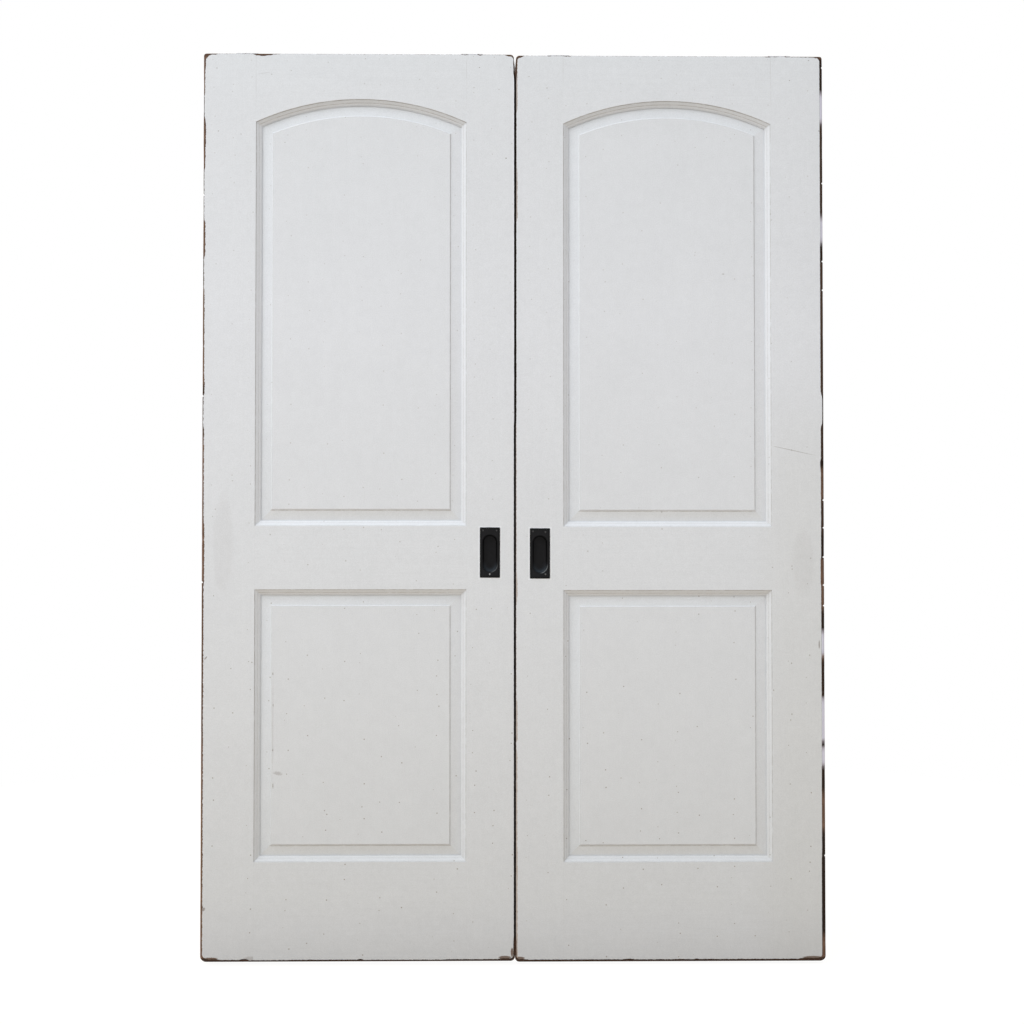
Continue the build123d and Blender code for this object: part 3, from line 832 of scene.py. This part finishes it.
def pull_ring_highlight(recipe, plan):
    """A painted highlight in a thin ring round the pull, on the front face alone."""
    leaf = plan.name
    lowest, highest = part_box(leaf + "_pull")
    middle = (lowest + highest) / 2
    half = (highest - lowest) / 2
    aside = recipe.minus(recipe.distance(recipe.across, middle.x), half.x)
    above = recipe.minus(recipe.distance(recipe.height, middle.z), half.z)
    on_front = recipe.rise(recipe.distance(recipe.depth, plan.front), 0.006, 0.003)
    return recipe.times(recipe.line(recipe.most(aside, above), 0.0016, 0.0013, 0.0012), on_front)


class Brushwork:
    """The strokes, speckle and fine scratches in the paint, and how light or dark they make it."""

    def __init__(self, recipe, part, grain):
        brush_scale = (1, 1, 0.03) if grain == "upright" else (0.03, 1, 1)
        scratch_place = recipe.turned((1, 1, 0.05), (0, math.radians(38), 0))
        self.strokes = recipe.noise(270, 4, 0.65, recipe.turned(brush_scale))
        self.speckle = recipe.noise(420, 3, 0.7)
        self.scratches = recipe.rise(recipe.noise(330, 2, 0.5, scratch_place), 0.66, 0.78)
        tone = recipe.add(
            recipe.spread(recipe.noise(7, 4, 0.6), 0.975, 1.025),
            recipe.spread(self.speckle, -0.13, 0.13),
            recipe.spread(recipe.noise(55, 5, 0.8), -0.065, 0.065),
            recipe.spread(self.strokes, -STROKE_TONE[part], STROKE_TONE[part]),
        )
        self.tone = recipe.minus(tone, recipe.times(self.scratches, 0.02))


def paint_aged_and_shaded(recipe, plan, part, settings, tone):
    """The white paint as age, dirt and knocks have left it, with painted shade by height and in the
    moulding's lines, painted light and shade on the bevels and a painted highlight round the pull, before its
    edges wore through.
    """
    # Painted shade by height, with some grime near the floor
    shade_and_grime_by_height = recipe.ramp(recipe.ranged(recipe.height, 0, TOP_OF_HEIGHT_RAMP, 0, 1), PAINT_SHADE_AND_GRIME_BY_HEIGHT)
    colour = recipe.shade(recipe.mixed("MULTIPLY", shade_and_grime_by_height, tuple(settings.colour)), tone)
    # Darker and warmer low down towards the right leaf's outer edge
    if plan.name == "right" and part != "panel":
        low = recipe.rise(recipe.height, 1.35, 1.05)
        outer = recipe.rise(recipe.across, 0.51, 0.63)
        colour = recipe.mixed("MULTIPLY", colour, LOW_OUTER_DARKER_TINT, recipe.times(low, outer))
    if part == "panel":
        colour = lit_and_shaded_bevels(recipe, plan, colour)
    grime_and_shade = tuple(settings.grime_and_shade)
    # Painted shade in the moulding's lines and round the panel's field
    colour = recipe.tint(moulding_shade_lines(recipe, plan, part), colour, grime_and_shade)
    spots = recipe.blots(24, 0.0019, 0.75)
    low_down = recipe.rise(recipe.height, 1.4, 0.2)
    colour = recipe.tint(recipe.times(spots, recipe.spread(low_down, 0.3, 0.75)), colour, grime_and_shade)
    marks = marks_on(recipe, plan, part)
    if marks is not None:
        colour = recipe.tint(marks, colour, MARK_COLOUR)
    if part == "stile":
        # Painted highlight round the pull
        colour = recipe.shade(colour, recipe.spread(pull_ring_highlight(recipe, plan), 1.0, 1.13))
    if part != "panel":
        colour = recipe.tint(joint_lines(recipe, plan), colour, grime_and_shade)
    return colour


def painted_wood(leaf, part, grain):
    """White paint brushed along the grain, with dirt in its corners and bare wood at its edges."""
    settings = paint_settings()
    plan = PLANS[leaf]
    recipe = Recipe(leaf + " " + part + " paint")
    brushwork = Brushwork(recipe, part, grain)
    colour = paint_aged_and_shaded(recipe, plan, part, settings, brushwork.tone)
    roughness = recipe.spread(brushwork.speckle, settings.roughness - 0.06, settings.roughness + 0.06)
    height = recipe.add(recipe.times(brushwork.strokes, 0.35), recipe.times(brushwork.speckle, 0.3))
    height = recipe.minus(height, recipe.times(brushwork.scratches, 0.5))
    if part != "panel":
        edges = WornEdges(recipe, plan, settings)
        colour = edges.worn(colour)
        roughness = recipe.add(roughness, recipe.times(edges.share, 0.3))
        height = recipe.minus(height, recipe.times(edges.share, 1.5))
    recipe.shader.inputs["Specular IOR Level"].default_value = MATT_SPECULAR
    return recipe.complete(colour, roughness, height, 0.00012)


def blackened_metal(leaf):
    """Cast metal with a black patina, darkest at its border, with painted shade inside the top of the cup's
    rim, a painted reflection low in the cup and a painted highlight on its lower right rim.
    """
    settings = pull_settings()
    recipe = Recipe(leaf + " blackened cast metal")
    clouds = recipe.noise(120, 4, 0.6)
    grains = recipe.noise(900, 3, 0.6)
    lowest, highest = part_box(leaf + "_pull")
    middle = (lowest.x + highest.x) / 2
    half_width = (highest.x - lowest.x) / 2
    half_height = (highest.z - lowest.z) / 2
    aside = recipe.distance(recipe.across, middle)
    up = recipe.minus(recipe.height, lowest.z + half_height - PULL_CUP_BELOW_CENTRE)
    beyond = recipe.most(recipe.minus(recipe.maths("ABSOLUTE", up), PULL_CUP_HALF_STRAIGHT), 0)
    from_rim = recipe.minus(recipe.slant(aside, beyond), PULL_CUP_RADIUS)

    tone = recipe.add(recipe.spread(clouds, 0.6, 1.4), recipe.spread(grains, -0.3, 0.3))
    shadow_depth = recipe.spread(recipe.rise(up, -0.03, 0.0), 0.3, 0.8)
    shadow = recipe.times(recipe.line(from_rim, -0.0012, 0.0012, 0.0016), shadow_depth)
    border = recipe.least(
        recipe.minus(half_width, aside),
        recipe.minus(half_height, recipe.distance(recipe.height, lowest.z + half_height)),
    )
    edge = recipe.times(recipe.rise(border, 0.0034, 0.0020), 0.75)
    tone = recipe.times(tone, recipe.minus(1, recipe.most(shadow, edge)))
    colour = recipe.shade(tuple(settings.colour), tone)

    # Painted reflection of the light from above on the cup's lower wall
    inside = recipe.rise(from_rim, 0.0, -0.001)
    low_in_cup = recipe.rise(up, -0.016, -0.038)
    crescent = recipe.times(inside, low_in_cup, recipe.rise(from_rim, -0.012, -0.003))
    colour = recipe.tint(recipe.times(crescent, 0.9), colour, CUP_GLEAM_COLOUR)
    # Painted highlight on the lower right rim of the cup
    right_side = recipe.rise(recipe.minus(recipe.across, middle), -0.002, 0.008)
    arc = recipe.times(recipe.line(from_rim, 0.0007, 0.0004, 0.0007), recipe.rise(up, -0.020, -0.032))
    arc_share = recipe.times(arc, right_side, RIM_HIGHLIGHT_SHARE[leaf])
    colour = recipe.tint(arc_share, colour, RIM_HIGHLIGHT_COLOUR)
    roughness = recipe.spread(grains, settings.roughness - 0.1, settings.roughness + 0.1)
    recipe.shader.inputs["Specular IOR Level"].default_value = MATT_SPECULAR
    return recipe.complete(colour, roughness, grains, 0.00008)


def pin_steel(leaf):
    """Pin heads that are black above the cup, and below it bright with painted glints."""
    recipe = Recipe(leaf + " worn pin steel")
    lowest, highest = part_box(leaf + "_pull")
    clouds = recipe.noise(700, 3, 0.6)
    middle = (lowest.z + highest.z) / 2
    black = recipe.tint(clouds, (0.012, 0.012, 0.013), (0.06, 0.06, 0.062))
    # Painted glints on the pins below the cup
    bright = recipe.tint(recipe.rise(clouds, 0.42, 0.62), (0.04, 0.04, 0.04), (PIN_GLINT[leaf],) * 3)
    below = recipe.rise(recipe.height, middle, middle - 0.02)
    recipe.shader.inputs["Metallic"].default_value = 0.3
    roughness = recipe.spread(clouds, 0.3, 0.5)
    return recipe.complete(recipe.tint(below, black, bright), roughness, clouds, 0.00005)


def painted_iron():
    """Iron painted over with the leaf, rusty where the paint has chipped."""
    settings = paint_settings()
    recipe = Recipe("painted iron")
    chips = recipe.rise(recipe.noise(130, 4, 0.7), 0.56, 0.6)
    colour = recipe.tint(chips, tuple(settings.colour), RUST_COLOUR)
    return recipe.complete(colour, recipe.spread(chips, 0.5, 0.8), recipe.minus(1, chips), 0.0002)


# Modelling


def select_only(piece):
    """Makes one piece the only one selected, and the active one."""
    bpy.ops.object.select_all(action="DESELECT")
    piece.select_set(True)
    bpy.context.view_layer.objects.active = piece


def finished_copy(node, name):
    """A copy of a solid as one clean mesh that stands for it, smooth across its round edges."""
    source = frame["nodes"][node]
    piece = source.copy()
    piece.data = source.data.copy()
    piece.name = name
    piece.parent = None
    bpy.context.scene.collection.objects.link(piece)
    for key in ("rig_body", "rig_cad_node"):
        del piece[key]
    select_only(piece)
    bpy.ops.mesh.customdata_custom_splitnormals_clear()
    bpy.ops.object.mode_set(mode="EDIT")
    bpy.ops.mesh.select_all(action="SELECT")
    bpy.ops.mesh.remove_doubles(threshold=MERGE_DISTANCE)
    bpy.ops.mesh.normals_make_consistent(inside=False)
    bpy.ops.object.mode_set(mode="OBJECT")
    bpy.ops.object.shade_smooth_by_angle(angle=SMOOTH_ANGLE)
    bpy.ops.object.select_all(action="DESELECT")
    return piece


def held_number(ends, value):
    """The number of the stretch that a value lies in."""
    for stop, number in ends:
        if value <= stop:
            return number
    return ends[-1][1]


def edge_loss(leaf, height):
    """How much of the leaf's outer edge is gone at a height."""
    reaches = [share * EDGE_LOSS_BLUR for share in (-1, -0.5, 0, 0.5, 1)]
    near = [held_number(OUTER_EDGE_LOSS[leaf], height + reach) for reach in reaches]
    row = LEAVES.index(leaf) * 7.3
    wander = noise.noise(Vector((height * 23, 0, row))) * 0.0004
    fine = noise.noise(Vector((height * 90, 5, row))) * 0.0003
    loss = MM * sum(near) / len(near) + wander + fine
    for notch in OUTER_EDGE_NOTCHES[leaf]:
        away = abs(height - notch) / NOTCH_HALF_HEIGHT
        loss += NOTCH_DEPTH * max(0, 1 - away)
    return max(0, loss)


def roughen_outer_edge(piece, plan):
    """Wears the straight line of a leaf's outer edge, on a stile that was given points along it."""
    heights = []
    height = plan.bottom + EDGE_CUT_SPACING
    while height < plan.top - EDGE_CUT_SPACING / 2:
        heights.append(height)
        height += EDGE_CUT_SPACING
    for notch in OUTER_EDGE_NOTCHES[plan.name]:
        heights += [notch - NOTCH_HALF_HEIGHT, notch, notch + NOTCH_HALF_HEIGHT]
    select_only(piece)
    bpy.ops.object.mode_set(mode="EDIT")
    for height in heights:
        bpy.ops.mesh.select_all(action="SELECT")
        bpy.ops.mesh.bisect(plane_co=(0, 0, height), plane_no=(0, 0, 1))
    bpy.ops.object.mode_set(mode="OBJECT")
    for point in piece.data.vertices:
        away = abs(point.co.x - plan.outer_edge)
        if away < EDGE_LOSS_REACH:
            point.co.x -= plan.side * edge_loss(plan.name, point.co.z) * (1 - away / EDGE_LOSS_REACH)
    bpy.ops.object.shade_smooth_by_angle(angle=SMOOTH_ANGLE)
    bpy.ops.object.select_all(action="DESELECT")


def stand_in(piece, leaf, node, material):
    """Gives a piece its material and makes it ride on its leaf in the place of a solid."""
    piece.data.materials.clear()
    piece.data.materials.append(material)
    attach(piece, leaf + "_leaf")
    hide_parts(node)


class ClosetDoorFrames(bpy.types.Operator):
    """Paint the stiles and rails, and wear their edges"""

    bl_idname = "closet_door.frames"
    bl_label = "Stiles and rails"

    def execute(self, context):
        for leaf in LEAVES:
            stile_paint = painted_wood(leaf, "stile", "upright")
            rail_paint = painted_wood(leaf, "rail", "level")
            for part in ("outer_stile", "meeting_stile", "top_rail", "lock_rail", "bottom_rail"):
                piece = finished_copy(leaf + "_" + part, leaf + "_painted_" + part)
                if part == "outer_stile":
                    roughen_outer_edge(piece, PLANS[leaf])
                paint = stile_paint if "stile" in part else rail_paint
                stand_in(piece, leaf, leaf + "_" + part, paint)
        return {"FINISHED"}


class ClosetDoorPanels(bpy.types.Operator):
    """Paint the raised panels"""

    bl_idname = "closet_door.panels"
    bl_label = "Raised panels"

    def execute(self, context):
        for leaf in LEAVES:
            paint = painted_wood(leaf, "panel", "upright")
            for part in ("upper_panel", "lower_panel"):
                piece = finished_copy(leaf + "_" + part, leaf + "_painted_" + part)
                stand_in(piece, leaf, leaf + "_" + part, paint)
        return {"FINISHED"}


class ClosetDoorPulls(bpy.types.Operator):
    """Blacken the flush pulls and set their pins"""

    bl_idname = "closet_door.pulls"
    bl_label = "Flush pulls"

    def execute(self, context):
        for leaf in LEAVES:
            piece = finished_copy(leaf + "_pull", leaf + "_blackened_pull")
            stand_in(piece, leaf, leaf + "_pull", blackened_metal(leaf))
            pins = finished_copy(leaf + "_pull_pins", leaf + "_worn_pins")
            stand_in(pins, leaf, leaf + "_pull_pins", pin_steel(leaf))
        return {"FINISHED"}


class ClosetDoorHangers(bpy.types.Operator):
    """Paint over the hanger plates and their screws"""

    bl_idname = "closet_door.hangers"
    bl_label = "Hanger plates"

    def execute(self, context):
        iron = painted_iron()
        for leaf in LEAVES:
            for part, slot in (
                ("inner_hanger_plate", "painted_plate"),
                ("outer_hanger_plate", "painted_plate"),
                ("hanger_screws", "screw_steel"),
            ):
                piece = finished_copy(leaf + "_" + part, leaf + "_painted_" + part)
                stand_in(piece, leaf, leaf + "_" + part, iron)
        return {"FINISHED"}


def stage_world():
    """Soft light from all around, cool from above and warm from below, on a white background."""
    settings = stage_settings()
    world = bpy.data.worlds.new("studio")
    bpy.context.scene.world = world
    world.use_nodes = True
    mixer = Mixer(world.node_tree)
    background = mixer.nodes["Background"]
    parts = mixer.nodes.new("ShaderNodeSeparateXYZ")
    mixer.feed(parts.inputs[0], mixer.nodes.new("ShaderNodeTexCoord").outputs["Generated"])
    light = mixer.tint(mixer.rise(parts.outputs[2], -0.6, 0.8), LIGHT_FROM_BELOW, LIGHT_FROM_ABOVE)
    seen = mixer.white_rays()
    mixer.feed(background.inputs["Color"], mixer.tint(seen, light, WHITE))
    mixer.feed(background.inputs["Strength"], mixer.spread(seen, settings.sky_strength, 1))


def stage_floor():
    """A pale floor that reads as the white background and keeps a faint shadow of the leaves."""
    height = solid_box[0].z - stage_settings().floor_drop
    place = (0, 0, height)
    bpy.ops.mesh.primitive_circle_add(vertices=96, radius=FLOOR_RADIUS, fill_type="NGON", location=place)
    floor = bpy.context.active_object
    floor.name = "pale_floor"
    material = bpy.data.materials.new("pale floor")
    material.use_nodes = True
    mixer = Mixer(material.node_tree)
    diffuse = mixer.nodes["Principled BSDF"]
    diffuse.inputs["Base Color"].default_value = (*FLOOR_COLOUR, 1)
    diffuse.inputs["Roughness"].default_value = 0.9
    diffuse.inputs["Specular IOR Level"].default_value = 0.1
    glow = mixer.nodes.new("ShaderNodeEmission")
    glow.inputs["Strength"].default_value = FLOOR_GLOW
    both = mixer.nodes.new("ShaderNodeMixShader")
    mixer.feed(both.inputs[0], mixer.times(mixer.white_rays(), FLOOR_GLOW_SHARE))
    mixer.feed(both.inputs[1], diffuse.outputs[0])
    mixer.feed(both.inputs[2], glow.outputs[0])
    mixer.feed(mixer.nodes["Material Output"].inputs["Surface"], both.outputs[0])
    floor.data.materials.append(material)


def stage_lamp():
    """One large soft lamp, above and to the left of the camera."""
    place = LAMP_AIM + LAMP_DISTANCE * LAMP_DIRECTION.normalized()
    bpy.ops.object.light_add(type="AREA", location=place)
    lamp = bpy.context.active_object
    lamp.name = "soft_lamp"
    lamp.rotation_euler = (LAMP_AIM - place).to_track_quat("-Z", "Y").to_euler()
    lamp.data.shape = "DISK"
    lamp.data.size = LAMP_WIDTH
    lamp.data.energy = stage_settings().lamp_power
    lamp.data.color = LAMP_COLOUR


def stage_camera():
    """The camera at the photograph's angle."""
    settings = stage_settings()
    gap_middle = (PLANS["left"].meeting_edge + PLANS["right"].meeting_edge) / 2
    across = gap_middle - settings.camera_left
    depth = PLANS["left"].front - settings.camera_distance
    place = (across, depth, settings.camera_height)
    turn = (math.radians(90) + settings.camera_tilt, 0, -settings.camera_turn)
    bpy.ops.object.camera_add(location=place, rotation=turn)
    camera = bpy.context.active_object
    camera.name = "camera"
    camera.data.lens = settings.lens
    camera.data.sensor_width = SENSOR_WIDTH
    bpy.context.scene.camera = camera


class ClosetDoorStageUp(bpy.types.Operator):
    """Set out the floor, the lamp, the white surroundings and the camera"""

    bl_idname = "closet_door.stage"
    bl_label = "Stage"

    def execute(self, context):
        stage_world()
        stage_floor()
        stage_lamp()
        stage_camera()
        context.scene.view_settings.view_transform = "Standard"
        bpy.ops.object.select_all(action="DESELECT")
        return {"FINISHED"}


OPERATORS = (ClosetDoorFrames, ClosetDoorPanels, ClosetDoorPulls, ClosetDoorHangers, ClosetDoorStageUp)


class ClosetDoorPanel(bpy.types.Panel):
    """The steps that dress the closet doors"""

    bl_idname = "VIEW3D_PT_closet_door"
    bl_label = "Closet door"
    bl_space_type = "VIEW_3D"
    bl_region_type = "UI"
    bl_category = "Closet door"

    def draw(self, context):
        for settings in (paint_settings(), pull_settings(), stage_settings()):
            box = self.layout.box()
            for name in settings.__annotations__:
                box.prop(settings, name)
        for operator in OPERATORS:
            self.layout.operator(operator.bl_idname)


SETTINGS = (ClosetDoorPaint, ClosetDoorPull, ClosetDoorStage)


def register():
    for kind in (*SETTINGS, *OPERATORS, ClosetDoorPanel):
        bpy.utils.register_class(kind)
    bpy.types.Scene.closet_door_paint = bpy.props.PointerProperty(type=ClosetDoorPaint)
    bpy.types.Scene.closet_door_pull = bpy.props.PointerProperty(type=ClosetDoorPull)
    bpy.types.Scene.closet_door_stage = bpy.props.PointerProperty(type=ClosetDoorStage)


def unregister():
    del bpy.types.Scene.closet_door_stage
    del bpy.types.Scene.closet_door_pull
    del bpy.types.Scene.closet_door_paint
    for kind in reversed((*SETTINGS, *OPERATORS, ClosetDoorPanel)):
        bpy.utils.unregister_class(kind)


def main():
    register()
    bpy.ops.closet_door.frames()
    bpy.ops.closet_door.panels()
    bpy.ops.closet_door.pulls()
    bpy.ops.closet_door.hangers()
    bpy.ops.closet_door.stage()


if __name__ == "__main__":
    main()
